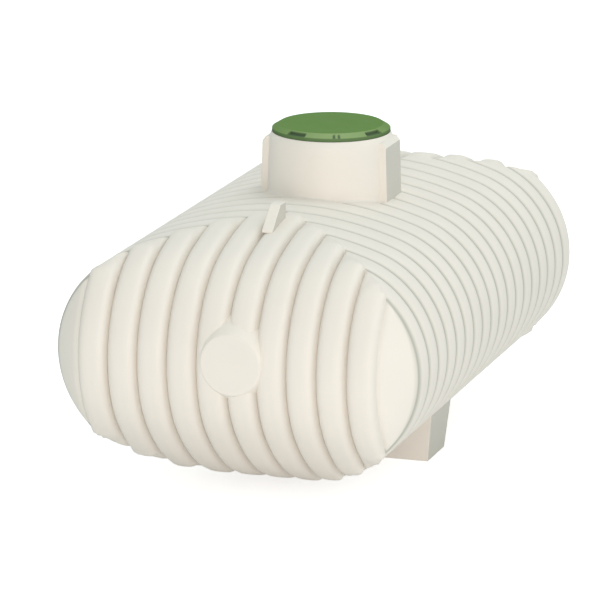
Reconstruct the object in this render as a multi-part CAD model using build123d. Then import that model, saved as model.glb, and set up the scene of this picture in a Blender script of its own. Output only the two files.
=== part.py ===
from build123d import *
import math
import os

# Underground water tank of moulded plastic: a lying barrel with hoops, two ends with upright
# ribs, a short manhole neck with a green lid, pipe bosses, lifting lugs and two standing feet.
# The barrel runs along Y with its front end at -Y, X is its width and Z is up.
# The origin is on the floor, midway between the feet. All sizes are in millimetres.

# Barrel: an oval of two flat arcs, above and below, and two tighter arcs at the flanks. The upper arc
# meets the flanks at one angle above the axis, and the deeper lower arc at another below it, in degrees.
# The lowest of the lower arc stays clear of the floor, so that the tank stands on its feet.
half_width = 915.0
half_height = 579.0
arc_joint_angle = 71.0
keel_joint_angle = 40.0
keel_clearance = 65.3594
hoop_pitch = 150.0
hoops = 18
hoop_rise = 8.0
hoop_flank = 16.0
wall = 14.0

# Where each flank arc is split into shoulder, flank and bilge, in degrees above and below the axis.
# The tighter arc of each end is split at the upper one.
flank_split_angle = 25.0

# Ribbed ends: their upright outline is the barrel's own oval, so that they meet it in a 45 degree mitre.
# The grooves between the ribs are sunk below the oval, and the ribs rise above it.
cheek_width = 165.0
ribs = 10
rib_rise = 28.0
rib_flank = 26.0
rib_shoulder_rise = 20.0
groove_sink = 14.0
end_wall = 32.0

# The neck, the lugs and the bosses stand on one line along the barrel, a little to the right of its middle
fitting_line = 36.0

# Manhole neck, its pipe pads with their sloped tops, and its collar
neck_radius = 310.0
neck_wall = 14.0
neck_height = 257.0
collar_height = 24.0
collar_inset = 14.0
pad_reach = 14.0
pad_half_length = 120.0
pad_slope_height = 27.0

# Lid, with four grip recesses in its bevel, set out from the locking tab
lid_overhang = 0.0
lid_rim_height = 18.0
lid_crown_height = 20.0
lid_bevel = 33.0
recess_depth = 16.0
recess_angle = 21.0
recess_bearing = 43.5
tab_bearing = 23.0
lid_seat_gap = 0.3
spigot_depth = 36.0
spigot_wall = 12.0
spigot_clearance = 6.0
tab_width = 26.0
tab_reach = 8.0

# Pipe bosses, lifting lugs and feet
boss_radius = 150.0
boss_reach = 33.0
boss_lift = 44.0
boss_draft_angle = 29.0
lug_width = 55.0
lug_setback = 520.0
lug_lean = 122.0
lug_slope_height = 104.0
lug_length = 80.0
lug_rise = 98.0
foot_inset = 320.0
foot_width = 300.0
foot_half_length = 142.0
foot_draft_angle = 6.0

# How far a fitting is drawn past the wall before the wall is taken out of it
fitting_depth = 90.0

# Sizes that follow from those above
barrel_half_length = hoops * hoop_pitch / 2
groove_half_width = half_width - cheek_width
rib_pitch = 2 * groove_half_width / ribs
mitre_apex = barrel_half_length - groove_half_width
end_front = mitre_apex + half_width
collar_radius = neck_radius - collar_inset
neck_bore = neck_radius - neck_wall
foot_outer = half_width - foot_inset
reach = 2 * end_front

# The upper arc has the slope of the flank where they meet, which sets both radii
joint_cosine = math.cos(math.radians(arc_joint_angle))
joint_sine = math.sin(math.radians(arc_joint_angle))
radius_difference = (half_width - half_height) / (joint_cosine + joint_sine - 1)
flank_offset = radius_difference * joint_cosine
flank_radius = half_width - flank_offset
crown_radius = flank_radius + radius_difference
trim_depth = flank_radius / 2

# The lower arc has the slope of the flank where they meet, which sets its radius and its depth
keel_radius = flank_radius + flank_offset / math.cos(math.radians(keel_joint_angle))
keel_centre_rise = flank_offset * math.tan(math.radians(keel_joint_angle))

# Heights above the floor
keel_centre_height = keel_clearance + keel_radius
axis_height = keel_centre_height - keel_centre_rise
crown_height = axis_height + half_height
crown_centre_height = crown_height - crown_radius
neck_top = crown_height + hoop_rise + neck_height
collar_top = neck_top + collar_height

# The feet reach up past the wall at their outer edge, and their inner edge is trimmed back further
keel_trim_depth = keel_radius / 2
foot_wall_height = keel_centre_height - math.sqrt(keel_radius ** 2 - foot_outer ** 2)
foot_top = foot_wall_height + fitting_depth

UP = Vector(0, 0, 1)
RIGHT = Vector(1, 0, 0)
FRONT = Vector(0, -1, 0)
REAR = Vector(0, 1, 0)
STANDING = (Align.CENTER, Align.CENTER, Align.MIN)


def save(shape, node):
    """Writes one piece to its own file."""
    solids = shape.solids()
    print(node, len(solids), "solid", round(sum(solid.volume for solid in solids) / 1e6, 2), "litres")
    export_step(shape, f"parts/{node}.step")


def both_sides(solid):
    """A right-hand solid and its mirror image on the left."""
    return [solid, mirror(solid, about=Plane.YZ)]


def both_ends(solid):
    """A front solid and its mirror image at the rear."""
    return [solid, mirror(solid, about=Plane.XZ)]


def on_line(height):
    """The place at a height on the fittings' line, under the middle of the lid."""
    return Pos(fitting_line, 0, height)


def upright(points):
    """A tall prism over a plan outline."""
    return extrude(Plane.XY * make_face(Polyline(*points, close=True)), reach)


def hoop_line():
    """The hooped wall's outline along the barrel, as places and rises above the crease."""
    line = []
    for hoop in range(hoops):
        crease = hoop * hoop_pitch - barrel_half_length
        line += [(crease, 0), (crease + hoop_flank, hoop_rise), (crease + hoop_pitch - hoop_flank, hoop_rise)]
    return line + [(barrel_half_length, 0)]


def rib_line():
    """The ribbed wall's outline across an end, as places and rises above the oval."""
    line = []
    for rib in range(ribs):
        groove = rib * rib_pitch - groove_half_width
        line += [(groove, -groove_sink), (groove + rib_flank, rib_shoulder_rise), (groove + rib_pitch / 2, rib_rise),
                 (groove + rib_pitch - rib_flank, rib_shoulder_rise)]
    return line + [(groove_half_width, -groove_sink)]


def bent_wall(line, along, outward, centre, radius, start, stop, depth):
    """A ridged wall of the given depth, bent about a centre from one angle above level to another."""
    turn = math.radians(start)
    radial = outward * math.cos(turn) + UP * math.sin(turn)
    plane = Plane(origin=centre, x_dir=along, z_dir=along.cross(radial))
    outer = [(place, radius + rise) for place, rise in line]
    inner = [(line[-1][0], radius - depth), (line[0][0], radius - depth)]
    section = plane * make_face(Polyline(*outer, *inner, close=True))
    return revolve(section, Axis(centre, outward.cross(UP)), stop - start)


def barrel_crown(depth):
    """The hooped wall over the barrel's flat upper arc."""
    centre = Vector(0, 0, crown_centre_height)
    return bent_wall(hoop_line(), REAR, RIGHT, centre, crown_radius, arc_joint_angle, 180 - arc_joint_angle, depth)


def barrel_keel(depth):
    """The hooped wall under the barrel's flat lower arc."""
    centre = Vector(0, 0, keel_centre_height)
    return bent_wall(hoop_line(), REAR, RIGHT, centre, keel_radius, keel_joint_angle - 180, -keel_joint_angle, depth)


def barrel_side(start, stop, depth):
    """The hooped wall round part of the barrel's right flank arc."""
    centre = Vector(flank_offset, 0, axis_height)
    return bent_wall(hoop_line(), REAR, RIGHT, centre, flank_radius, start, stop, depth)


def end_brow(depth):
    """The ribbed wall over the front end's flat upper arc."""
    centre = Vector(0, -mitre_apex, crown_centre_height)
    return bent_wall(rib_line(), RIGHT, FRONT, centre, crown_radius, arc_joint_angle, 90, depth)


def end_chin(depth):
    """The ribbed wall under the front end's flat lower arc."""
    centre = Vector(0, -mitre_apex, keel_centre_height)
    return bent_wall(rib_line(), RIGHT, FRONT, centre, keel_radius, -90, -keel_joint_angle, depth)


def end_face(start, stop, depth):
    """The ribbed wall round part of the front end's tighter middle arc."""
    centre = Vector(0, -mitre_apex - flank_offset, axis_height)
    return bent_wall(rib_line(), RIGHT, FRONT, centre, flank_radius, start, stop, depth)


def mitre_prism():
    """The tall space in front of the two mitre planes, which the front end fills."""
    corner = mitre_apex + groove_half_width
    return upright([(0, -mitre_apex), (groove_half_width, -corner), (groove_half_width, -reach),
                    (-groove_half_width, -reach), (-groove_half_width, -corner)])


def barrel_walls():
    """The hooped wall in eight segments, open at the neck and cut to the mitres at both ends."""
    front_space, rear_space = both_ends(mitre_prism())
    crown = barrel_crown(wall) - front_space - rear_space
    save(crown - on_line(crown_height) * Cylinder(neck_radius, half_height), "barrel_crown")
    save(barrel_keel(wall) - front_space - rear_space, "barrel_keel")
    sides = {"shoulder": (flank_split_angle, arc_joint_angle), "flank": (-flank_split_angle, flank_split_angle),
             "bilge": (-keel_joint_angle, -flank_split_angle)}
    for name, (start, stop) in sides.items():
        side = barrel_side(start, stop, wall) - front_space - rear_space
        right, left = both_sides(side)
        save(right, f"barrel_{name}_right")
        save(left, f"barrel_{name}_left")


def end_walls():
    """Both ribbed ends, each in four strips one above the other."""
    strips = {"brow": end_brow(end_wall), "shoulder": end_face(flank_split_angle, arc_joint_angle, end_wall),
              "face": end_face(-keel_joint_angle, flank_split_angle, end_wall), "chin": end_chin(end_wall)}
    for name, strip in strips.items():
        front, rear = both_ends(strip & mitre_prism())
        save(front, f"front_end_{name}")
        save(rear, f"rear_end_{name}")


def cheeks():
    """The plain slanted walls between the last groove and the first crease, at all four corners."""
    slant = (RIGHT + REAR).normalized()
    inner_radius = flank_radius - end_wall / slant.Y
    plane = Plane(origin=(groove_half_width, -mitre_apex - flank_offset, axis_height), x_dir=REAR, z_dir=RIGHT)
    behind = Pos(flank_radius, 0) * Rectangle(2 * flank_radius, 2 * flank_radius)
    section = plane * (Circle(flank_radius) - Circle(inner_radius) - behind)
    corner = Pos(groove_half_width, -barrel_half_length, 0) * Box(
        reach, reach, reach, align=(Align.MIN, Align.MAX, Align.MIN))
    cheek = Solid.extrude(section.face(), slant * reach) & corner
    for side, solid in zip(("right", "left"), both_sides(cheek)):
        front, rear = both_ends(solid)
        save(front, f"front_cheek_{side}")
        save(rear, f"rear_cheek_{side}")


def neck():
    """The manhole neck in four quarters and the collar that carries the lid."""
    height = neck_top - crown_height + trim_depth
    tube = Cylinder(neck_radius, height) - Cylinder(neck_bore, height)
    space = Pos(0, 0, crown_centre_height) * Rot(90, 0, 0) * Cylinder(crown_radius - wall, reach)
    tube = on_line(neck_top - height / 2) * tube - space
    quarter = upright([(0, 0), (reach, -reach), (-reach, -reach)])
    for turn, side in enumerate(("front", "right", "rear", "left")):
        save(tube & (on_line(0) * Rot(0, 0, 90 * turn) * quarter), f"neck_{side}")
    collar = Cone(neck_radius, collar_radius, collar_height, align=STANDING) - Cylinder(neck_bore, reach)
    save(on_line(neck_top) * collar, "neck_collar")


def neck_pads():
    """A flat pipe pad on each side of the neck, with a sloped top."""
    edge = neck_radius + pad_reach
    low = crown_height - fitting_depth
    points = [(0, low), (edge, low), (edge, neck_top - pad_slope_height), (neck_radius, neck_top), (0, neck_top)]
    plane = Plane(origin=(0, pad_half_length, 0), x_dir=RIGHT, z_dir=FRONT)
    block = extrude(plane * make_face(Polyline(*points, close=True)), 2 * pad_half_length)
    block = block - Pos(0, 0, crown_height) * Cylinder(neck_radius, reach)
    for turn, side in ((0, "right"), (180, "left")):
        save(on_line(0) * Rot(0, 0, turn) * block - barrel_crown(trim_depth), f"neck_pad_{side}")


def grip_recesses(rim_radius):
    """Four short stretches of a ring, which are taken out of the lid's bevel."""
    ring = Cylinder(rim_radius, lid_crown_height, align=STANDING)
    ring = ring - Cylinder(rim_radius - recess_depth, lid_crown_height, align=STANDING)
    half_chord = rim_radius * math.tan(math.radians(recess_angle / 2))
    wedge = upright([(0, 0), (half_chord, -rim_radius), (-half_chord, -rim_radius)])
    stretch = Pos(0, 0, lid_rim_height) * (ring & wedge)
    recesses = []
    for quarter in range(4):
        side = 1 if quarter % 2 else -1
        recesses.append(Rot(0, 0, 180 * (quarter // 2) + side * recess_bearing) * stretch)
    return recesses


def lid():
    """The lift-off lid: a bevelled cover, the spigot that centres it and its locking tab."""
    seat = on_line(collar_top + lid_seat_gap) * Rot(0, 0, tab_bearing)
    rim_radius = collar_radius + lid_overhang
    rim = Cylinder(rim_radius, lid_rim_height, align=STANDING)
    crown = Pos(0, 0, lid_rim_height) * Cone(rim_radius, rim_radius - lid_bevel, lid_crown_height, align=STANDING)
    cover = rim + crown
    for recess in grip_recesses(rim_radius):
        cover = cover - recess
    save(seat * cover, "lid_cover")
    spigot_radius = neck_bore - spigot_clearance
    spigot = Cylinder(spigot_radius, spigot_depth) - Cylinder(spigot_radius - spigot_wall, spigot_depth)
    save(seat * Pos(0, 0, -spigot_depth / 2) * spigot, "lid_spigot")
    tab = Box(tab_width, rim_radius + tab_reach, lid_rim_height, align=(Align.CENTER, Align.MAX, Align.MIN))
    save(seat * (tab - Cylinder(rim_radius, reach)), "lid_tab")


def bosses():
    """A flat round pipe boss on each end, whose skirt widens back to the wall."""
    depth = boss_reach + fitting_depth
    foot_radius = boss_radius + depth * math.tan(math.radians(boss_draft_angle))
    face = Plane(origin=(fitting_line, -end_front - boss_reach, axis_height + boss_lift), x_dir=UP, z_dir=FRONT)
    skirt = face * Pos(0, 0, -depth) * Cone(foot_radius, boss_radius, depth, align=STANDING)
    front, rear = both_ends(skirt - end_face(-keel_joint_angle, arc_joint_angle, trim_depth))
    save(front, "front_boss")
    save(rear, "rear_boss")


def lifting_lugs():
    """A leaning lug on the crown of each end."""
    foot = -end_front + lug_setback
    top = crown_height + lug_rise
    low = crown_height - fitting_depth
    points = [(foot, low), (foot, top - lug_slope_height), (foot + lug_lean, top),
              (foot + lug_lean + lug_length, top), (foot + lug_lean + lug_length, low)]
    plane = Plane(origin=(fitting_line - lug_width / 2, 0, 0), x_dir=REAR, z_dir=RIGHT)
    lug = extrude(plane * make_face(Polyline(*points, close=True)), lug_width)
    front, rear = both_ends(lug - end_brow(trim_depth))
    save(front, "front_lug")
    save(rear, "rear_lug")


def feet():
    """Two tapered standing feet under the middle of the barrel."""
    sole = Pos(foot_outer - foot_width / 2, 0) * Rectangle(foot_width, 2 * foot_half_length)
    foot = extrude(Plane.XY * sole, foot_top, taper=-foot_draft_angle)
    foot = foot - barrel_keel(keel_trim_depth) - barrel_side(-keel_joint_angle, 0, trim_depth)
    right, left = both_sides(foot)
    save(right, "foot_right")
    save(left, "foot_left")


os.makedirs("parts", exist_ok=True)
barrel_walls()
end_walls()
cheeks()
neck()
neck_pads()
lid()
bosses()
lifting_lugs()
feet()
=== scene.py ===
import math

import bpy
import numpy as np
from mathutils import Matrix, Vector


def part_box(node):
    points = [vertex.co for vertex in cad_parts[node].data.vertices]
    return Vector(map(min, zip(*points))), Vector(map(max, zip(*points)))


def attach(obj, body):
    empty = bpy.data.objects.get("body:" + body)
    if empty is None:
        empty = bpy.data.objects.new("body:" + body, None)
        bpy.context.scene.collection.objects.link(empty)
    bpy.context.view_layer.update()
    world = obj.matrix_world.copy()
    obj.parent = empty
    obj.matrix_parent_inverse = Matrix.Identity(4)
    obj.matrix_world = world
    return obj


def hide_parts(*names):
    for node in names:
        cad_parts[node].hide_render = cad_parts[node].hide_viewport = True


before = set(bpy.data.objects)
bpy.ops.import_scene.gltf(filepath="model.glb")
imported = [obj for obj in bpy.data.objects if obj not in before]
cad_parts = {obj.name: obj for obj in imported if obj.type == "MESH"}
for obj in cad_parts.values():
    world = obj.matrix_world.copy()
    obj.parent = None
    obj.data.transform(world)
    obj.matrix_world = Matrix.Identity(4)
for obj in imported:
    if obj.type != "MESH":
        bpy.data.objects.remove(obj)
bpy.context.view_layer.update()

# Underground water tank: off-white moulded plastic with a green lid. Metres, in the part's own frame:
# the barrel runs along Y with its front end at -Y, X is its width, Z is up and the floor is z = 0.

# The oval shared by the barrel and both ends: flat arcs above and below, tighter arcs at the flanks.
# The lower arc is deeper than the upper one, because it leaves the flanks nearer to the axis.
HALF_WIDTH = 0.915
HALF_HEIGHT = 0.579
CROWN_ANGLE = math.radians(71.0)
KEEL_ANGLE = math.radians(40.0)
AXIS_HEIGHT = 0.765
# The tank's smooth inner surface lies this far inside the oval
SKIN = 0.026

# Hoops round the barrel. The ribs on the ends have the same pitch.
PITCH = 0.150
HOOPS = 18
HOOP_RISE = 0.008
CREASE_SINK = 0.006
HOOP_POWER = 5.0
# Painted shade in a crease spreads over this width on the crown, and over more of it down the flanks
CREASE_WIDTH = 0.007
CREASE_SPREAD = 0.008

# Upright ribs on the ends
RIBS = 10
RIB_RISE = 0.028
GROOVE_SINK = 0.016
RIB_POWER = 4.5
# Strength of the painted shade in a groove, where a crease has 1, and the width over which it fades
RIB_SHADE = 0.18
RIB_SHADE_WIDTH = 0.013
# A rib starts in a round nose, which reaches this far in from its outer groove and rises over this run
NOSE_REACH = 0.085
NOSE_RUN = 0.075
# A groove sinks over this run behind the mitre
GROOVE_RUN = 0.02

# A cheek bulges by this share of its chord, and rises out of its groove and its crease over these runs
CHEEK_BULGE = 0.02
CHEEK_GROOVE_RUN = 0.020
CHEEK_CREASE_RUN = 0.012

# Where the surface is sampled within one pitch, closer together near the creases, and across a cheek
PITCH_STEPS = (0.0, 0.025, 0.06, 0.105, 0.17, 0.28, 0.42, 0.58, 0.72, 0.83, 0.895, 0.94, 0.975)
CHEEK_STEPS = (0.03, 0.07, 0.13, 0.2, 0.3, 0.42, 0.55, 0.7, 0.85, 0.95)
# Rings between the border of the plan grid and the oval's widest point
BAND_ROWS = 22
# The walls' directions turn into each other over this distance beside the mitre
MITRE_BLEND = 0.03
# Lengths closer than this count as equal
NEARLY = 1e-6

# Sizes that follow
BARREL_HALF = HOOPS * PITCH / 2
GROOVE_HALF = RIBS * PITCH / 2
APEX = BARREL_HALF - GROOVE_HALF
RADIUS_DIFFERENCE = (HALF_WIDTH - HALF_HEIGHT) / (math.cos(CROWN_ANGLE) + math.sin(CROWN_ANGLE) - 1)
FLANK_OFFSET = RADIUS_DIFFERENCE * math.cos(CROWN_ANGLE)
FLANK_RADIUS = HALF_WIDTH - FLANK_OFFSET

# The line of the neck, lugs and bosses, and the manhole neck, which flares out into the crown
LINE = 0.036
NECK_RADIUS = 0.310
NECK_BORE = 0.296
NECK_DRAFT = 0.010
NECK_FLARE = 0.014
FLARE_STEPS = 6
NECK_SEGMENTS = 160
# The crown's opening ends inside the neck's wall, and the neck's lowest outer rings lie under the crown
OPENING_RADIUS = NECK_RADIUS - 0.006
NECK_ROOT_INSET = 0.002
NECK_ROOT_DEPTH = 0.022
FLARE_DEPTH = 0.004
# Rings of the neck's upper edge, the collar and the bore's edge: beyond their radius and below their top
NECK_EDGE = ((0.002, 0.05), (0.0, 0.006), (-0.0015, 0.0))
COLLAR_EDGE = ((-0.010, 0.005), (-0.0125, 0.001), (-0.0135, 0.0))
BORE_EDGE = ((0.0003, 0.0), (0.0, 0.0005))
BORE_RING_DEPTH = 0.1

# The lid: an upright rim, a bevel and a flat top
LID_SEGMENTS = 288
LID_RIM = 0.018
LID_BEVEL = 0.033
LID_ROUNDING = 0.0025
LID_TOP_ROUNDING = 0.001
# Rings of its rim, as distance in from the edge, height, greyness, which is darker towards the bottom, and
# painted sheen
RIM_RINGS = ((0.03, 0.0, 0.75, 0.0), (0.003, 0.0, 0.75, 0.0), (0.0008, 0.0008, 0.75, 0.0),
             (0.0, 0.003, 0.65, 0.3), (0.0, 0.015, 0.55, 0.3), (0.0008, 0.0172, 0.4, 0.35),
             (LID_ROUNDING, LID_RIM, 0.2, 0.5))
# Rings of its bevel, as heights above the rim, and of its top, as distances in from the edge
BEVEL_RINGS = (0.0005, 0.0015, 0.006, 0.011, 0.0165)
TOP_RINGS = (LID_BEVEL + LID_ROUNDING, 0.04, 0.055, 0.12, 0.2, 0.27)
# Bearing of the first catch from the front. The bearings below are degrees from the nearer catch.
FIRST_CATCH = 23.0
CATCH_HALF = 1.6
CATCH_SLOPE = 0.4
CATCH_PROUD = 0.004
SLOT_START = 1.7
SLOT_END = 3.4
RECESS_MIDDLE = 43.5
RECESS_HALF = 10.7
RECESS_CUT = 0.027
# Painted shade darkens the slots and recesses on these rings, and a painted sheen lightens the bevel, most of
# all near the catches
DARK_RINGS = range(6, 11)
RECESS_SHADE = 0.9
BEVEL_SHEEN = 0.6
LEAST_SHEEN = 0.15

# The round pipe bosses, whose skirts widen back to the wall
BOSS_RADIUS = 0.150
BOSS_RISE = 0.044
BOSS_DRAFT = math.radians(29.0)
BOSS_SEGMENTS = 96
# The skirt ends this far behind the face, and its back stands this far in front of the solid's back
BOSS_LIP = 0.008
BOSS_BACK_STEP = 0.002
BOSS_BACK_INSET = 0.020554
# Rings of the face's edge, as distances beyond its radius and behind it
BOSS_EDGE = ((0.0015, 0.004), (-0.001, 0.0015), (-0.004, 0.0003), (-0.008, 0.0))
BOSS_INNER_SHARE = 0.6

# The lifting lugs: the slope at the outer end, and how high their lower corners lie above the solid's
LUG_SLOPE_HEIGHT = 0.104
LUG_SLOPE_LENGTH = 0.122
LUG_OUTER_CORNER = 0.03
LUG_INNER_CORNER = 0.06
LUG_ROUNDING = 0.004

# The standing feet, narrower at the sole
FOOT_OUTER = 0.595
FOOT_INNER = 0.295
FOOT_HALF_LENGTH = 0.142
FOOT_SPREAD = math.tan(math.radians(6.0))
FOOT_LEVELS = 9
FOOT_OVERLAP = 0.004
FOOT_FIRST_TOP = 0.2
FOOT_ROUNDS = 12
FOOT_ROUNDING = 0.006

# The flat pipe pads on the neck, with sloped tops and slightly spread feet
PAD_SLOPE_HEIGHT = 0.027
PAD_SPREAD = 0.008
PAD_SUNK = 0.004
PAD_TOP_INSET = 0.004
PAD_TOP_STEP = 0.001
PAD_OVERLAP = 0.012
PAD_ROUNDING = 0.005

# Edges that turn by more degrees than this look sharp, on the lid from a smaller angle, or are rounded,
# on blocks
SHARP_ANGLE = 35.0
LID_SHARP_ANGLE = 28.0
ROUNDED_ANGLE = 30.0
ROUNDING_SEGMENTS = 3
# Painted shade on the flat sides of the lugs, pads and feet
SIDE_SHADE = 0.5

# Half the floor's side, and the photograph's width in pixels
FLOOR_HALF = 60.0
PHOTO_WIDTH = 600.0


# Surface of the tank

def hoop_rise(place):
    """Height of the hooped wall above the oval: flat bands between narrow creases."""
    across = np.abs(2 * np.mod(place / PITCH, 1) - 1)
    return HOOP_RISE - (HOOP_RISE + CREASE_SINK) * across ** HOOP_POWER


def rib_rise(place):
    """Height of the ribbed wall above the oval: broad round crests between narrow sunken grooves."""
    across = np.abs(2 * np.mod(place / PITCH, 1) - 1)
    return RIB_RISE - (RIB_RISE + GROOVE_SINK) * across ** RIB_POWER


def groove_nearness(place, width):
    """One at a groove, falling to nothing within about the given width."""
    away = PITCH / 2 - np.abs(np.mod(place, PITCH) - PITCH / 2)
    return np.exp(-(away / width) ** 2)


def rib_shade(place):
    """Painted shade on the ribbed wall near its grooves."""
    return RIB_SHADE * groove_nearness(place, RIB_SHADE_WIDTH)


def hoop_shade(place, outward):
    """Painted shade on the hooped wall near its creases, where its normal has this outward part."""
    return groove_nearness(place, CREASE_WIDTH + CREASE_SPREAD * outward)


class HalfOval:
    """The oval above or below its axis: a flat arc that meets the flank arc at an angle from level."""

    def __init__(self, joint_angle):
        self.joint_angle = joint_angle
        self.radius = FLANK_RADIUS + FLANK_OFFSET / math.cos(joint_angle)
        self.centre = -FLANK_OFFSET * math.tan(joint_angle)
        self.joint_reach = self.radius * math.cos(joint_angle)

    def height(self, across):
        """Height away from the axis, and the normal's outward and upward parts."""
        flank = np.clip((across - FLANK_OFFSET) / FLANK_RADIUS, -1, 1)
        flat = np.clip(across / self.radius, -1, 1)
        on_flank = across > self.joint_reach
        outward = np.where(on_flank, flank, flat)
        upward = np.sqrt(1 - outward ** 2)
        height = np.where(on_flank, FLANK_RADIUS * upward, self.centre + self.radius * upward)
        return height, outward, upward

    def angle(self, across):
        """Angle of the normal above level where the half oval has this reach."""
        if across > self.joint_reach:
            return math.acos((across - FLANK_OFFSET) / FLANK_RADIUS)
        return math.acos(across / self.radius)

    def place(self, turn):
        """Reach and height where the normal stands at this angle above level."""
        if turn < self.joint_angle:
            return FLANK_OFFSET + FLANK_RADIUS * math.cos(turn), FLANK_RADIUS * math.sin(turn)
        return self.radius * math.cos(turn), self.centre + self.radius * math.sin(turn)


UPPER = HalfOval(CROWN_ANGLE)
LOWER = HalfOval(KEEL_ANGLE)


def cap_rise(x, y):
    """Height of the walls above the oval at plan points: ribs past the mitre, hoops before it."""
    end_reach = np.abs(y) - APEX
    past_mitre = (end_reach - np.abs(x)) / math.sqrt(2)
    hoop_at_mitre = hoop_rise(x)
    step = rib_rise(x) - hoop_at_mitre
    from_crest = np.abs(2 * np.mod(np.abs(x) / PITCH, 1) - 1)
    outer_groove = PITCH * (np.floor(np.abs(x) / PITCH) + 1)
    nose = outer_groove - NOSE_REACH * np.sqrt(1 - from_crest ** 2)
    share = np.clip(np.where(step > 0, (end_reach - nose) / NOSE_RUN, past_mitre / GROOVE_RUN), 0, 1)
    return np.where(past_mitre > 0, hoop_at_mitre + step * np.sin(share * math.pi / 2), hoop_rise(y))


def cap_points(half, x, y):
    """The surface of a half tank over a plan grid, as outer points, inner points and painted shade."""
    end_reach = np.abs(y) - APEX
    past_mitre = (end_reach - np.abs(x)) / math.sqrt(2)
    height, outward, upward = half.height(np.maximum(np.abs(x), end_reach))
    sideways = np.sign(x) * np.clip(1 - past_mitre / MITRE_BLEND, 0, 1)
    lengthways = np.sign(y) * np.clip(1 + past_mitre / MITRE_BLEND, 0, 1)
    greys = np.where(past_mitre > 0, rib_shade(x), hoop_shade(y, outward))

    def lifted(rise):
        return np.stack([x + sideways * outward * rise, y + lengthways * outward * rise,
                         AXIS_HEIGHT + height + upward * rise], axis=-1)

    return lifted(cap_rise(x, y)), lifted(-SKIN), greys


def cheek_section(chord):
    """Rise and painted shade across a cheek with this chord, from its groove to its crease."""
    steps = np.array(CHEEK_STEPS)
    from_groove = (1 - steps) * np.exp(-(steps * chord / CHEEK_GROOVE_RUN) ** 2)
    from_crease = steps * np.exp(-((1 - steps) * chord / CHEEK_CREASE_RUN) ** 2)
    bulge = CHEEK_BULGE * chord * (4 * steps * (1 - steps))
    rise = bulge - GROOVE_SINK * from_groove - CREASE_SINK * from_crease
    return rise, RIB_SHADE * from_groove + from_crease


def band_ring(half, turn, x_line, y_line):
    """One ring of the tank's side where its normal has an angle: outer points, inner points, painted shade.
    """
    outward = math.cos(turn)
    upward = math.sin(turn)
    across, lift = half.place(turn)
    height = AXIS_HEIGHT + lift
    slant = math.sqrt(1 + outward ** 2)
    cheek_rise, cheek_greys = cheek_section(math.sqrt(2) * (across - GROOVE_HALF))
    runs = []

    def run(x, y, normal, rise, greys):
        place = np.stack(np.broadcast_arrays(x, y, height), axis=-1)
        normal = np.array(normal)
        runs.append((place + normal * rise[:, None], place - normal * SKIN, greys))

    def end_run(xs, facing):
        run(xs, facing * (APEX + across), (0, facing * outward, upward), rib_rise(xs), rib_shade(xs))

    def side_run(ys, facing):
        run(facing * across, ys, (facing * outward, 0, upward), hoop_rise(ys), hoop_shade(ys, outward))

    def cheek_run(side, facing, from_end):
        order = slice(None) if from_end else slice(None, None, -1)
        shares = np.array(CHEEK_STEPS)[order]
        x = side * (GROOVE_HALF + shares * (across - GROOVE_HALF))
        y = facing * (APEX + across - shares * (across - GROOVE_HALF))
        normal = (side * outward / slant, facing * outward / slant, upward / slant)
        run(x, y, normal, cheek_rise[order], cheek_greys[order])

    end_run(x_line, -1)
    cheek_run(1, -1, True)
    side_run(y_line, 1)
    cheek_run(1, 1, False)
    end_run(x_line[::-1], 1)
    cheek_run(-1, 1, True)
    side_run(y_line[::-1], -1)
    cheek_run(-1, -1, False)
    return tuple(np.concatenate(parts) for parts in zip(*runs))


def grid_lines():
    """Plan lines across and along the tank, so that both mitres run through grid points."""
    steps = np.array(PITCH_STEPS) * PITCH
    lines = []
    for count, half in ((RIBS, GROOVE_HALF), (HOOPS, BARREL_HALF)):
        lines.append(np.concatenate([fold * PITCH + steps for fold in range(count)] + [[2 * half]]) - half)
    return lines


def opened(x, y, opening):
    """Plan points, the outermost in a round opening moved to its edge, then which are kept and moved."""
    distance = np.hypot(x - LINE, y)
    inside = distance < opening
    outermost = np.zeros(x.shape, dtype=bool)
    for dx in (-1, 0, 1):
        for dy in (-1, 0, 1):
            outermost |= ~np.roll(inside, (dx, dy), axis=(0, 1))
    edge = inside & outermost
    keep = ~(inside & ~outermost)
    scale = np.where(edge, opening / np.maximum(distance, NEARLY), 1.0)
    return LINE + (x - LINE) * scale, y * scale, keep, edge


def cap_faces(number, keep, edge, x_line, y_line):
    """Faces between neighbouring plan points, cut in two where a mitre crosses them."""
    faces = []
    for i in range(len(x_line) - 1):
        for j in range(len(y_line) - 1):
            corners = ((i, j), (i + 1, j), (i + 1, j + 1), (i, j + 1))
            if not all(keep[corner] for corner in corners) or all(edge[corner] for corner in corners):
                continue
            a, b, c, d = (int(number[corner]) for corner in corners)
            mitred = [abs(abs(y_line[row]) - APEX - abs(x_line[column])) < NEARLY for column, row in corners]
            if mitred[0] and mitred[2]:
                faces += [(a, b, c), (a, c, d)]
            elif mitred[1] and mitred[3]:
                faces += [(a, b, d), (b, c, d)]
            else:
                faces.append((a, b, c, d))
    return faces


def cap_border(number):
    """The plan grid's border points as one loop, each corner repeated for the cheek below it."""
    loop = []
    for side in (number[:, 0], number[-1, :], number[::-1, -1], number[0, ::-1]):
        loop += [int(index) for index in side] + [int(side[-1])] * len(CHEEK_STEPS)
    return loop


def loop_faces(above, below):
    """Faces between two loops of equal length, where points of the upper one may repeat."""
    faces = []
    for k in range(len(below)):
        after = (k + 1) % len(below)
        face = [above[k], below[k], below[after], above[after]]
        if face[0] == face[3]:
            face.pop()
        faces.append(tuple(face))
    return faces


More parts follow.
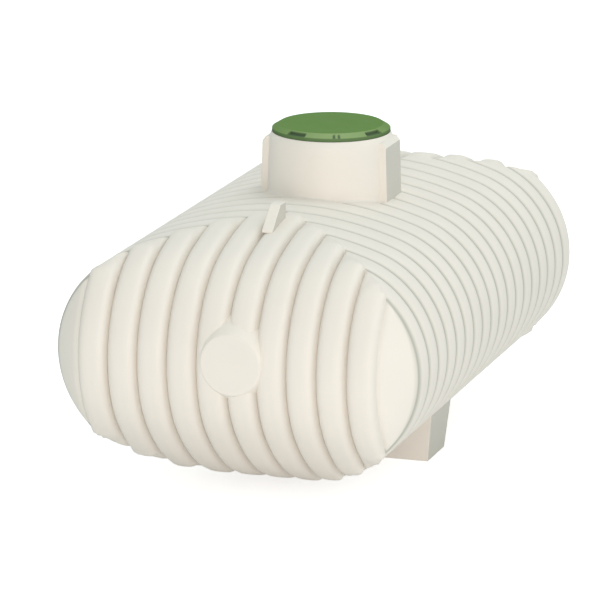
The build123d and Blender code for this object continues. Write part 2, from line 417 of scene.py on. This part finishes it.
def half_shell(half, opening):
    """Half of the tank, drawn upwards, as outer points, inner points, painted shade and faces."""
    x_line, y_line = grid_lines()
    x, y = np.meshgrid(x_line, y_line, indexing="ij")
    number = np.arange(x.size).reshape(x.shape)
    keep = np.ones(x.shape, dtype=bool)
    edge = ~keep
    if opening:
        x, y, keep, edge = opened(x, y, opening)
    outer, inner, greys = cap_points(half, x, y)
    skins = [(outer.reshape(-1, 3), inner.reshape(-1, 3), greys.reshape(-1))]
    faces = cap_faces(number, keep, edge, x_line, y_line)
    above = cap_border(number)
    total = x.size
    band_top = half.angle(GROOVE_HALF)
    for row in range(1, BAND_ROWS + 1):
        ring = band_ring(half, band_top * (1 - row / BAND_ROWS), x_line, y_line)
        skins.append(ring)
        below = list(range(total, total + len(ring[0])))
        total += len(below)
        faces += loop_faces(above, below)
        above = below
    outer, inner, greys = (np.concatenate(parts) for parts in zip(*skins))
    return outer, inner, greys, faces


def closed_wall(outer, inner, greys, faces):
    """Joins an outer and an inner skin of the same faces along their open edges into one closed solid."""
    count = len(outer)
    edges = {}
    for face in faces:
        for a, b in zip(face, face[1:] + face[:1]):
            if (b, a) in edges:
                del edges[(b, a)]
            else:
                edges[(a, b)] = True
    skin = list(faces)
    skin += [tuple(index + count for index in reversed(face)) for face in faces]
    skin += [(b, a, a + count, b + count) for a, b in edges]
    return np.concatenate([outer, inner]), np.concatenate([greys, np.zeros(count)]), skin


def make_piece(name, points, faces, body, replaced, sharp=SHARP_ANGLE, greys=None, painted_sheens=None,
               face_shades=None):
    """A mesh object from points and faces, riding on a body and standing for CAD nodes."""
    used = sorted({index for face in faces for index in face})
    place = {index: new for new, index in enumerate(used)}
    mesh = bpy.data.meshes.new(name)
    mesh.from_pydata([tuple(map(float, points[index])) for index in used], [],
                     [tuple(place[index] for index in face) for face in faces])
    mesh.validate()
    mesh.polygons.foreach_set("use_smooth", [True] * len(mesh.polygons))
    mesh.set_sharp_from_angle(angle=math.radians(sharp))
    # Per point: painted shade with the lid rim's greyness, and painted sheen
    for title, shares in (("painted_shade_and_rim_grey", greys), ("painted_sheen", painted_sheens)):
        layer = mesh.attributes.new(title, "FLOAT", "POINT")
        values = [float(shares[index]) for index in used] if shares is not None else [0.0] * len(used)
        layer.data.foreach_set("value", values)
    # Painted shade on whole flat faces
    if face_shades is not None:
        layer = mesh.attributes.new("shaded face", "FLOAT", "FACE")
        layer.data.foreach_set("value", face_shades)
    piece = bpy.data.objects.new(name, mesh)
    bpy.context.scene.collection.objects.link(piece)
    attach(piece, body)
    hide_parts(*replaced)
    return piece


def shell_pieces():
    """Both halves of the tank's wall."""
    upper_nodes = ["barrel_crown", "barrel_shoulder_right", "barrel_shoulder_left", "barrel_flank_right",
                   "barrel_flank_left", "front_end_brow", "rear_end_brow", "front_end_shoulder",
                   "rear_end_shoulder", "front_end_face", "rear_end_face", "front_cheek_right",
                   "front_cheek_left", "rear_cheek_right", "rear_cheek_left"]
    lower_nodes = ["barrel_keel", "barrel_bilge_right", "barrel_bilge_left", "front_end_chin",
                   "rear_end_chin"]
    points, greys, faces = closed_wall(*half_shell(UPPER, OPENING_RADIUS))
    upper = make_piece("shell_upper", points, faces, "tank", upper_nodes, greys=greys)
    points, greys, faces = closed_wall(*half_shell(LOWER, 0))
    points = points * np.array([1, 1, -1]) + np.array([0, 0, 2 * AXIS_HEIGHT])
    faces = [tuple(reversed(face)) for face in faces]
    lower = make_piece("shell_lower", points, faces, "tank", lower_nodes, greys=greys)
    return [upper, lower]


# Turned pieces

def turn_angles(segments):
    """Evenly spaced angles of one full turn."""
    return np.linspace(0, 2 * math.pi, segments, endpoint=False)


def level_ring(angle, radius, height):
    """Points round the neck's upright axis."""
    x = LINE + radius * np.cos(angle)
    y = radius * np.sin(angle)
    return np.stack(np.broadcast_arrays(x, y, height), axis=-1)


def looped(rings):
    """Points and faces of rings of equal length, joined into a closed loop of rings."""
    segments = len(rings[0])
    faces = []
    for r in range(len(rings)):
        this = r * segments
        after = (r + 1) % len(rings) * segments
        for s in range(segments):
            t = (s + 1) % segments
            faces.append((this + s, after + s, after + t, this + t))
    return np.concatenate(rings), faces


def capped(rings, first_centre, last_centre):
    """Points and faces of rings of equal length, closed by a fan round a centre at each end."""
    segments = len(rings[0])
    last = (len(rings) - 1) * segments
    count = last + segments
    faces = []
    for this in range(0, last, segments):
        after = this + segments
        for s in range(segments):
            t = (s + 1) % segments
            faces.append((this + s, this + t, after + t, after + s))
    for s in range(segments):
        t = (s + 1) % segments
        faces.append((t, s, count))
        faces.append((last + s, last + t, count + 1))
    return np.concatenate(rings + [[first_centre, last_centre]]), faces


def crown_surface(x, y):
    """Outer height of the hooped crown at plan points."""
    height, _, upward = UPPER.height(np.abs(x))
    return AXIS_HEIGHT + height + hoop_rise(y) * upward


def neck_piece():
    """The neck, flared where it rises out of the hoops, with its collar and open bore."""
    angle = turn_angles(NECK_SEGMENTS)
    collar_low, collar_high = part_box("neck_collar")
    neck_top = collar_low[2]
    collar_top = collar_high[2]

    def on_crown(radius, lift):
        crown = crown_surface(LINE + radius * np.cos(angle), radius * np.sin(angle))
        return level_ring(angle, radius, crown + lift)

    inner_height, _, _ = UPPER.height(np.abs(LINE + NECK_BORE * np.cos(angle)))
    base = NECK_RADIUS + NECK_DRAFT
    rings = [level_ring(angle, NECK_BORE, AXIS_HEIGHT + inner_height - SKIN),
             on_crown(NECK_RADIUS - NECK_ROOT_INSET, -NECK_ROOT_DEPTH),
             on_crown(base + NECK_FLARE, -FLARE_DEPTH)]
    for step in range(FLARE_STEPS + 1):
        turn = math.radians(90 * step / FLARE_STEPS)
        rings.append(on_crown(base + NECK_FLARE * (1 - math.sin(turn)), NECK_FLARE * (1 - math.cos(turn))))
    for radius, top, edge in ((NECK_RADIUS, neck_top, NECK_EDGE), (NECK_RADIUS, collar_top, COLLAR_EDGE),
                              (NECK_BORE, collar_top, BORE_EDGE)):
        rings += [level_ring(angle, radius + beyond, top - below) for beyond, below in edge]
    rings.append(level_ring(angle, NECK_BORE, neck_top - BORE_RING_DEPTH))
    points, faces = looped(rings)
    return make_piece("neck_moulding", points, faces, "tank",
                      ["neck_front", "neck_rear", "neck_right", "neck_left", "neck_collar"])


def lid_rows(height):
    """The lid's rings, each as inset, height, recess depth, reach of a catch, greyness and painted sheen."""
    rows = [(inset, rise, 0.0, 0.0, grey, painted_sheen) for inset, rise, grey, painted_sheen in RIM_RINGS]
    slope = LID_BEVEL / (height - LID_RIM)
    for rise in [LID_RIM + rise for rise in BEVEL_RINGS] + [height - LID_TOP_ROUNDING]:
        inset = slope * (rise - LID_RIM) + LID_ROUNDING
        rows.append((inset, rise, RECESS_CUT, CATCH_PROUD, 0.0, BEVEL_SHEEN))
    return rows + [(inset, height, 0.0, 0.0, 0.0, 0.0) for inset in TOP_RINGS]


def lid_piece():
    """The lid: an upright rim and a bevel up to a flat top, with grip recesses and small catches."""
    angle = turn_angles(LID_SEGMENTS)
    low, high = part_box("lid_cover")
    radius = (high[1] - low[1]) / 2
    base = low[2]
    height = high[2] - base
    # Bearing round the lid from its first catch, folded to the nearer of the two catches
    bearing = np.arctan2(np.cos(angle), -np.sin(angle)) - math.radians(FIRST_CATCH)
    bearing = np.mod(bearing + math.pi / 2, math.pi) - math.pi / 2
    from_catch = np.degrees(np.abs(bearing))
    recess = np.abs(from_catch - RECESS_MIDDLE) < RECESS_HALF
    slot = (from_catch > SLOT_START) & (from_catch < SLOT_END)
    catch = np.clip((CATCH_HALF - from_catch) / CATCH_SLOPE, 0, 1)
    # Painted sheen: full on the catches, and on the bevel strongest near them
    sheen_strength = np.where(catch > 0, 1.0, LEAST_SHEEN + (1 - LEAST_SHEEN) * np.cos(bearing) ** 2)
    rings = []
    greys = []
    painted_sheens = []
    for number, (inset, rise, cut, proud, grey, painted_sheen) in enumerate(lid_rows(height)):
        reach = radius - np.maximum(inset, np.where(recess, cut, 0)) + proud * catch
        rings.append(level_ring(angle, reach, base + rise))
        # Painted shade in the slots and recesses
        greys.append(np.where((recess | slot) & (number in DARK_RINGS), RECESS_SHADE, grey))
        painted_sheens.append(sheen_strength * painted_sheen)
    points, faces = capped(rings, (LINE, 0, base), (LINE, 0, base + height))
    centres = np.zeros(2)
    return make_piece("lid_moulding", points, faces, "lid", ["lid_cover", "lid_tab"], LID_SHARP_ANGLE,
                      greys=np.concatenate(greys + [centres]), painted_sheens=np.concatenate(painted_sheens + [centres]))


def boss_piece(node, facing):
    """One flat round pipe boss, whose skirt widens back to the wall."""
    angle = turn_angles(BOSS_SEGMENTS)
    low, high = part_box(node)
    centre = AXIS_HEIGHT + BOSS_RISE
    face = max(abs(low[1]), abs(high[1]))
    back = min(abs(low[1]), abs(high[1])) + BOSS_BACK_STEP
    depth = face - back
    widening = math.tan(BOSS_DRAFT)
    skirt = BOSS_RADIUS + depth * widening
    profile = [(skirt - BOSS_BACK_INSET, back), (skirt, back),
               (BOSS_RADIUS + depth / 2 * widening, face - depth / 2),
               (BOSS_RADIUS + BOSS_LIP * widening, face - BOSS_LIP)]
    profile += [(BOSS_RADIUS + beyond, face - behind) for beyond, behind in BOSS_EDGE]
    profile.append((BOSS_RADIUS * BOSS_INNER_SHARE, face))
    rings = [np.stack(np.broadcast_arrays(LINE + r * np.cos(angle), facing * y, centre + r * np.sin(angle)),
                      axis=-1) for r, y in profile]
    points, faces = capped(rings, (LINE, facing * back, centre), (LINE, facing * face, centre))
    if facing > 0:
        faces = [tuple(reversed(corners)) for corners in faces]
    return make_piece(f"{node}_moulding", points, faces, "tank", [node])


# Blocks

def rounded(piece, width):
    """Rounds the edges of a block."""
    rounding = piece.modifiers.new("soft edges", "BEVEL")
    rounding.width = width
    rounding.segments = ROUNDING_SEGMENTS
    rounding.limit_method = "ANGLE"
    rounding.angle_limit = math.radians(ROUNDED_ANGLE)
    rounding.harden_normals = True
    return piece


def lug_piece(node, facing):
    """One lifting lug, sloped at its outer end, with painted shade on both flat sides."""
    low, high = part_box(node)
    near, far = (low[1], high[1]) if facing < 0 else (high[1], low[1])
    top = high[2]
    outline = [(near, low[2] + LUG_OUTER_CORNER), (near, top - LUG_SLOPE_HEIGHT),
               (near - facing * LUG_SLOPE_LENGTH, top), (far, top), (far, low[2] + LUG_INNER_CORNER)]
    if facing > 0:
        outline.reverse()
    count = len(outline)
    points = [(x, y, z) for x in (low[0], high[0]) for y, z in outline]
    faces = [tuple(reversed(range(count))), tuple(range(count, 2 * count))]
    for k in range(count):
        after = (k + 1) % count
        faces.append((k, after, after + count, k + count))
    shades = [SIDE_SHADE, SIDE_SHADE] + [0.0] * count
    piece = make_piece(f"{node}_moulding", np.array(points), faces, "tank", [node],
                       face_shades=shades)
    return rounded(piece, LUG_ROUNDING)


def foot_top(sole_x, out_x):
    """Height at which a leaning corner of a foot ends, just inside the tank's wall."""
    top = FOOT_FIRST_TOP
    for _ in range(FOOT_ROUNDS):
        height, _, _ = LOWER.height(np.array([abs(sole_x + out_x * top * FOOT_SPREAD)]))
        top = AXIS_HEIGHT - float(height[0]) + FOOT_OVERLAP
    return top


def foot_piece(node, side):
    """One standing foot, with its top inside the tank's wall and painted shade on the sides that face across
    the tank.
    """
    corners = [(FOOT_INNER, -1, -1), (FOOT_OUTER, 1, -1), (FOOT_OUTER, 1, 1), (FOOT_INNER, -1, 1)]
    points = []
    for level in range(FOOT_LEVELS):
        for x, out_x, out_y in corners:
            z = foot_top(x, out_x) * level / (FOOT_LEVELS - 1)
            spread = z * FOOT_SPREAD
            points.append((side * (x + out_x * spread), out_y * (FOOT_HALF_LENGTH + spread), z))
    faces = []
    shades = []
    last = (FOOT_LEVELS - 1) * len(corners)
    for this in range(0, last, len(corners)):
        for k in range(len(corners)):
            a = this + k
            b = this + (k + 1) % len(corners)
            faces.append((a, b, b + len(corners), a + len(corners)))
            shades.append(SIDE_SHADE if k % 2 else 0.0)
    faces += [(3, 2, 1, 0), (last, last + 1, last + 2, last + 3)]
    shades += [0.0, 0.0]
    if side < 0:
        faces = [tuple(reversed(face)) for face in faces]
    piece = make_piece(f"{node}_moulding", np.array(points), faces, "tank", [node],
                       face_shades=shades)
    return rounded(piece, FOOT_ROUNDING)


def pad_piece(node, side):
    """One flat pipe pad on a side of the neck, with painted shade on its outer face."""
    low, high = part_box(node)
    outer = max(abs(low[0] - LINE), abs(high[0] - LINE))
    half = high[1]
    top = high[2] - PAD_TOP_STEP
    base = low[2] - PAD_SUNK
    inner = math.sqrt(NECK_RADIUS ** 2 - half ** 2) - PAD_OVERLAP
    outline = [(inner, base), (outer + PAD_SPREAD, base), (outer, high[2] - PAD_SLOPE_HEIGHT),
               (NECK_RADIUS - PAD_TOP_INSET, top), (inner, top)]
    count = len(outline)
    points = [(LINE + side * x, y, z) for y in (-half, half) for x, z in outline]
    faces = [tuple(range(count)), tuple(reversed(range(count, 2 * count)))]
    for k in range(count):
        after = (k + 1) % count
        faces.append((after, k, k + count, after + count))
    if side < 0:
        faces = [tuple(reversed(face)) for face in faces]
    shades = [0.0, 0.0, 0.0, SIDE_SHADE] + [0.0] * (count - 2)
    piece = make_piece(f"{node}_moulding", np.array(points), faces, "tank", [node],
                       face_shades=shades)
    return rounded(piece, PAD_ROUNDING)


# Materials

def plastic(name, colour, shade_and_rim_colour, sheen_colour, roughness, shine):
    """Moulded plastic: faint mottling, fine grain, a little waviness, painted shade in grooves and on flat
    sides, and a painted sheen on edges.
    """
    material = bpy.data.materials.new(name)
    material.use_nodes = True
    nodes = material.node_tree.nodes
    links = material.node_tree.links
    shader = nodes["Principled BSDF"]
    shader.inputs["Specular IOR Level"].default_value = shine
    where = nodes.new("ShaderNodeTexCoord")

    def noise(scale, detail):
        node = nodes.new("ShaderNodeTexNoise")
        node.inputs["Scale"].default_value = scale
        node.inputs["Detail"].default_value = detail
        links.new(where.outputs["Object"], node.inputs["Vector"])
        return node.outputs["Fac"]

    def ranged(source, low, high):
        node = nodes.new("ShaderNodeMapRange")
        node.inputs["From Min"].default_value = 0.3
        node.inputs["From Max"].default_value = 0.7
        node.inputs["To Min"].default_value = low
        node.inputs["To Max"].default_value = high
        links.new(source, node.inputs["Value"])
        return node.outputs["Result"]

    def attribute(title):
        node = nodes.new("ShaderNodeAttribute")
        node.attribute_name = title
        return node.outputs["Fac"]

    def mixed(share, second):
        node = nodes.new("ShaderNodeMix")
        node.data_type = "RGBA"
        node.inputs["B"].default_value = (*second, 1)
        links.new(share, node.inputs["Factor"])
        return node

    def bump(height, strength, distance):
        node = nodes.new("ShaderNodeBump")
        node.inputs["Strength"].default_value = strength
        node.inputs["Distance"].default_value = distance
        links.new(height, node.inputs["Height"])
        return node

    mottled = mixed(ranged(noise(scale=3.0, detail=4.0), low=0.0, high=1.0), colour)
    mottled.inputs["A"].default_value = (*[channel * 0.975 for channel in colour], 1)
    # Painted sheen on the lid's bevel, rim top and catches
    sheen_mix = mixed(attribute("painted_sheen"), sheen_colour)
    links.new(mottled.outputs["Result"], sheen_mix.inputs["A"])
    # Painted shade in grooves and recesses, with the lid rim's greyness, counts for four fifths, and painted
    # shade on flat sides in full
    amount = nodes.new("ShaderNodeMath")
    amount.operation = "MULTIPLY_ADD"
    amount.inputs[1].default_value = 0.8
    links.new(attribute("painted_shade_and_rim_grey"), amount.inputs[0])
    links.new(attribute("shaded face"), amount.inputs[2])
    shade_and_rim_mix = mixed(amount.outputs[0], shade_and_rim_colour)
    links.new(sheen_mix.outputs["Result"], shade_and_rim_mix.inputs["A"])
    links.new(shade_and_rim_mix.outputs["Result"], shader.inputs["Base Color"])
    dull = ranged(noise(scale=9.0, detail=3.0), low=roughness - 0.05, high=roughness + 0.06)
    links.new(dull, shader.inputs["Roughness"])
    grain = bump(noise(scale=420.0, detail=2.0), strength=0.25, distance=0.0005)
    waves = bump(noise(scale=5.0, detail=2.0), strength=0.3, distance=0.004)
    links.new(grain.outputs["Normal"], waves.inputs["Normal"])
    links.new(waves.outputs["Normal"], shader.inputs["Normal"])
    return material


def dress(piece, material):
    """Gives a piece one material."""
    piece.data.materials.clear()
    piece.data.materials.append(material)


# Light, floor and camera

def white_world():
    """A white surround for the camera and for reflections, with a dimmer light on the object."""
    world = bpy.data.worlds.new("surround")
    bpy.context.scene.world = world
    world.use_nodes = True
    nodes = world.node_tree.nodes
    links = world.node_tree.links
    nodes.clear()
    path = nodes.new("ShaderNodeLightPath")
    seen = nodes.new("ShaderNodeMath")
    seen.operation = "MAXIMUM"
    clear = nodes.new("ShaderNodeMath")
    clear.operation = "MAXIMUM"
    links.new(path.outputs["Is Camera Ray"], seen.inputs[0])
    links.new(path.outputs["Is Transmission Ray"], seen.inputs[1])
    links.new(seen.outputs[0], clear.inputs[0])
    links.new(path.outputs["Is Glossy Ray"], clear.inputs[1])
    ambient = nodes.new("ShaderNodeBackground")
    ambient.inputs["Color"].default_value = (0.90, 1.0, 1.0, 1)
    ambient.inputs["Strength"].default_value = 0.62
    white = nodes.new("ShaderNodeBackground")
    white.inputs["Color"].default_value = (1, 1, 1, 1)
    white.inputs["Strength"].default_value = 1.0
    mix = nodes.new("ShaderNodeMixShader")
    links.new(clear.outputs[0], mix.inputs["Fac"])
    links.new(ambient.outputs[0], mix.inputs[1])
    links.new(white.outputs[0], mix.inputs[2])
    output = nodes.new("ShaderNodeOutputWorld")
    links.new(mix.outputs[0], output.inputs["Surface"])


def floor_material():
    """Plain white that glows a little, more so for the camera, and keeps a soft shadow."""
    material = bpy.data.materials.new("floor")
    material.use_nodes = True
    nodes = material.node_tree.nodes
    links = material.node_tree.links
    nodes.clear()
    matte = nodes.new("ShaderNodeBsdfDiffuse")
    matte.inputs["Color"].default_value = (0.8, 0.8, 0.8, 1)
    path = nodes.new("ShaderNodeLightPath")
    glow = nodes.new("ShaderNodeEmission")
    glow.inputs["Color"].default_value = (1, 1, 1, 1)
    strength = nodes.new("ShaderNodeMath")
    strength.operation = "MULTIPLY_ADD"
    strength.inputs[1].default_value = 0.50
    strength.inputs[2].default_value = 0.12
    links.new(path.outputs["Is Camera Ray"], strength.inputs[0])
    links.new(strength.outputs[0], glow.inputs["Strength"])
    both = nodes.new("ShaderNodeAddShader")
    links.new(matte.outputs[0], both.inputs[0])
    links.new(glow.outputs[0], both.inputs[1])
    output = nodes.new("ShaderNodeOutputMaterial")
    links.new(both.outputs[0], output.inputs["Surface"])
    return material


def floor():
    """The plain floor."""
    mesh = bpy.data.meshes.new("floor")
    corners = [(-1, -1), (1, -1), (1, 1), (-1, 1)]
    mesh.from_pydata([(x * FLOOR_HALF, y * FLOOR_HALF, 0) for x, y in corners], [], [(0, 1, 2, 3)])
    piece = bpy.data.objects.new("floor", mesh)
    bpy.context.scene.collection.objects.link(piece)
    dress(piece, floor_material())


def lamp(name, place, target, power, size, colour):
    """A square area lamp that faces a target."""
    light = bpy.data.lights.new(name, "AREA")
    light.energy = power
    light.size = size
    light.color = colour
    holder = bpy.data.objects.new(name, light)
    holder.location = place
    holder.rotation_euler = (Vector(target) - Vector(place)).to_track_quat("-Z", "Y").to_euler()
    bpy.context.scene.collection.objects.link(holder)


def camera():
    """The camera, placed as the photograph was taken."""
    azimuth = math.radians(18.4)
    elevation = math.radians(14.1)
    distance = 23.25
    focal_pixels = 4612.0
    right_shift = -0.122
    up_shift = -0.0096
    right = Vector((math.cos(azimuth), math.sin(azimuth), 0))
    back = Vector((math.sin(azimuth) * math.cos(elevation), -math.cos(azimuth) * math.cos(elevation),
                   math.sin(elevation)))
    up = back.cross(right)
    place = Vector((0, 0, AXIS_HEIGHT)) + right * right_shift + up * up_shift + back * distance
    data = bpy.data.cameras.new("camera")
    data.sensor_width = 36.0
    data.lens = focal_pixels / PHOTO_WIDTH * data.sensor_width
    data.clip_end = 200.0
    holder = bpy.data.objects.new("camera", data)
    holder.matrix_world = Matrix((
        (right.x, up.x, back.x, place.x), (right.y, up.y, back.y, place.y),
        (right.z, up.z, back.z, place.z), (0, 0, 0, 1)))
    bpy.context.scene.collection.objects.link(holder)
    bpy.context.scene.camera = holder


bpy.context.scene.view_settings.view_transform = "Standard"
off_white = plastic("off_white_plastic", colour=(0.86, 0.80, 0.725), shade_and_rim_colour=(0.38, 0.38, 0.33),
                    sheen_colour=(0.9, 0.86, 0.8), roughness=0.5, shine=0.3)
green = plastic("green_plastic", colour=(0.135, 0.255, 0.065), shade_and_rim_colour=(0.035, 0.06, 0.045),
                sheen_colour=(0.38, 0.48, 0.24), roughness=0.75, shine=0.1)
for piece in shell_pieces() + [
        neck_piece(), boss_piece("front_boss", -1), boss_piece("rear_boss", 1), lug_piece("front_lug", -1),
        lug_piece("rear_lug", 1), foot_piece("foot_right", 1), foot_piece("foot_left", -1),
        pad_piece("neck_pad_right", 1), pad_piece("neck_pad_left", -1)]:
    dress(piece, off_white)
dress(lid_piece(), green)
for node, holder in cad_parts.items():
    dress(holder, green if node.startswith("lid") else off_white)
white_world()
floor()
lamp("key", place=(4.6, -13.8, 4.45), target=(0, 0, 0.8), power=370.0, size=5.0, colour=(1.0, 0.86, 0.80))
lamp("top", place=(2.8, 4.2, 13.8), target=(0, 0, 0.8), power=520.0, size=8.0, colour=(0.96, 1.0, 1.0))
lamp("low fill", place=(4.0, -12.5, 0.7), target=(0, 0, 0.5), power=330.0, size=4.0, colour=(1.0, 0.96, 0.94))
lamp("side fill", place=(15.0, -3.0, 2.0), target=(0, 0, 0.7), power=250.0, size=6.0, colour=(0.98, 1.0, 1.0))
camera()
